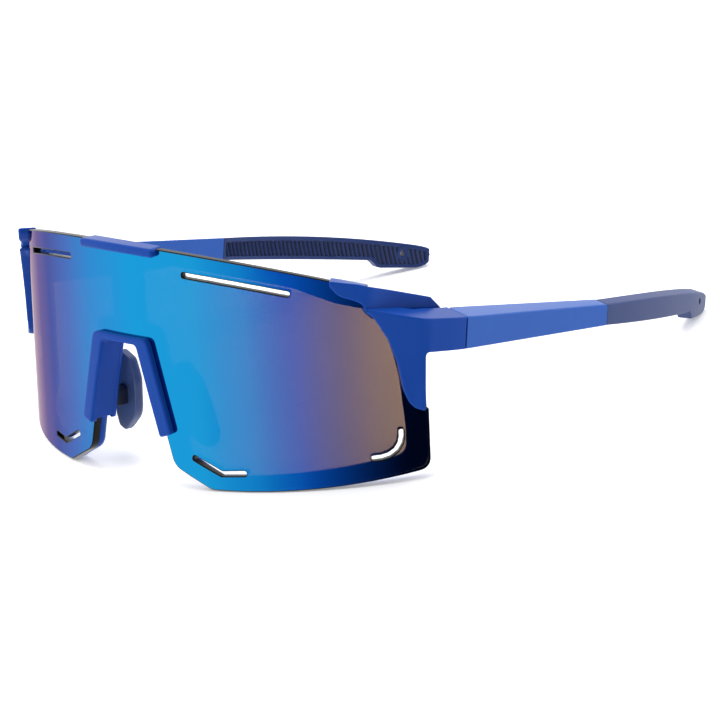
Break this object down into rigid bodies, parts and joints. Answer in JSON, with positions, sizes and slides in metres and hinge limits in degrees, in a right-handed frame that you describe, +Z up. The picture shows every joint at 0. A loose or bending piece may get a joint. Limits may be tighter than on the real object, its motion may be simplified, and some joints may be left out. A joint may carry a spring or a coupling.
{
  "type": "wraparound sport sunglasses",
  "caption": "Wraparound sport sunglasses with a one-piece mirrored shield lens, clip-on nose bridge and folding temples with rubber tips.",
  "frame": {"origin": "middle of the outer box, on the surface that the lens's lower corners and the temple tips rest on", "axes": "+Z up, the lens faces -Y, +X is the wearer's left and is square to the plane of symmetry"},
  "size_m": [0.151, 0.1743, 0.0631],
  "materials": {
    "lens": "blue mirror coat over dark smoke polycarbonate",
    "frame_blue": "satin moulded blue plastic",
    "temple_blue": "satin moulded blue plastic",
    "tip_rubber": "matte navy rubber",
    "pad_rubber": "matte navy soft rubber",
    "arm_plastic": "matte dark plastic",
    "screw_steel": "satin stainless steel",
    "insert_brass": "turned brass"
  },
  "bodies": {
    "front": {"shield_lens": "lens", "front_frame": "frame_blue", "nose_bridge": "frame_blue", "nose_pad_left": "pad_rubber", "nose_arm_left": "arm_plastic", "nose_pad_right": "pad_rubber", "nose_arm_right": "arm_plastic"},
    "temple_left": {"temple_left": "temple_blue", "temple_tip_left": "tip_rubber", "hinge_screw_left": "screw_steel", "hinge_insert_left": "insert_brass"},
    "temple_right": {"temple_right": "temple_blue", "temple_tip_right": "tip_rubber", "hinge_screw_right": "screw_steel", "hinge_insert_right": "insert_brass"}
  },
  "joints": [
    {"name": "temple_fold_left", "type": "hinge", "parent": "front", "child": "temple_left", "pos_m": [0.0689, -0.03318, 0.03374], "axis": [0, 0.23, 0.9732], "range_deg": [0, 90]},
    {"name": "temple_fold_right", "type": "hinge", "parent": "front", "child": "temple_right", "pos_m": [-0.0689, -0.03318, 0.03374], "axis": [0, -0.23, -0.9732], "range_deg": [0, 76]}
  ]
}
